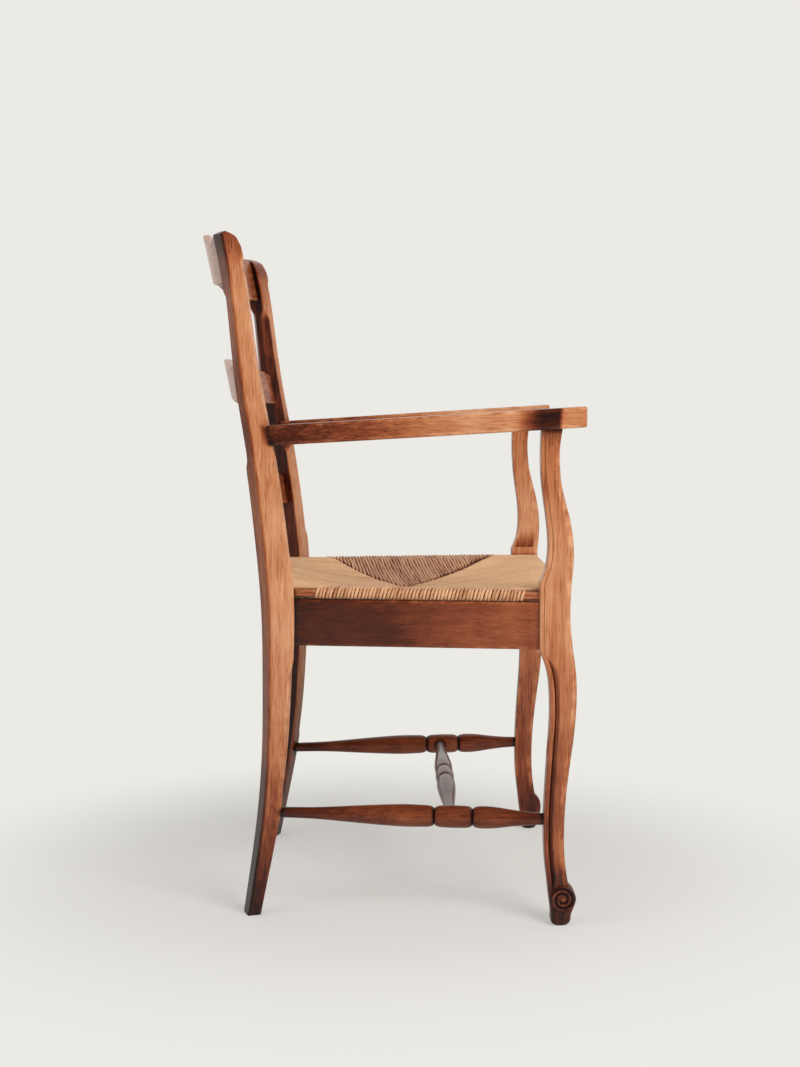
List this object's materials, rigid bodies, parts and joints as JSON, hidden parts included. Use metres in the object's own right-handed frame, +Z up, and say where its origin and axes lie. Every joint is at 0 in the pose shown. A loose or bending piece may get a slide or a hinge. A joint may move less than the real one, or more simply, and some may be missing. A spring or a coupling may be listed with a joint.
{
  "type": "ladderback armchair",
  "caption": "Rush-seated wooden ladderback armchair with bowed slats, flat arms, cabriole front legs on scroll feet and turned stretchers.",
  "frame": {"origin": "on the floor, in the middle of the chair's outer box", "axes": "+X to the front of the chair, +Y to its left as seen by a sitter, +Z up"},
  "size_m": [0.544, 0.5928, 0.971],
  "materials": {
    "oak": "satin, stained and waxed",
    "rush": "matt twisted rush and smooth straw"
  },
  "bodies": {
    "root": {"back_post_left": "oak", "back_post_right": "oak", "front_leg_left": "oak", "front_leg_right": "oak", "arm_left": "oak", "arm_right": "oak", "apron_left": "oak", "apron_right": "oak", "apron_front": "oak", "apron_back": "oak", "seat_rail_left": "oak", "seat_rail_right": "oak", "seat_rail_front": "oak", "seat_rail_back": "oak", "stretcher_left": "oak", "stretcher_right": "oak", "stretcher_cross": "oak", "slat_crest": "oak", "slat_middle": "oak", "slat_lower": "oak", "rush_left": "rush", "rush_right": "rush", "rush_front": "rush", "rush_back": "rush"}
  },
  "joints": []
}
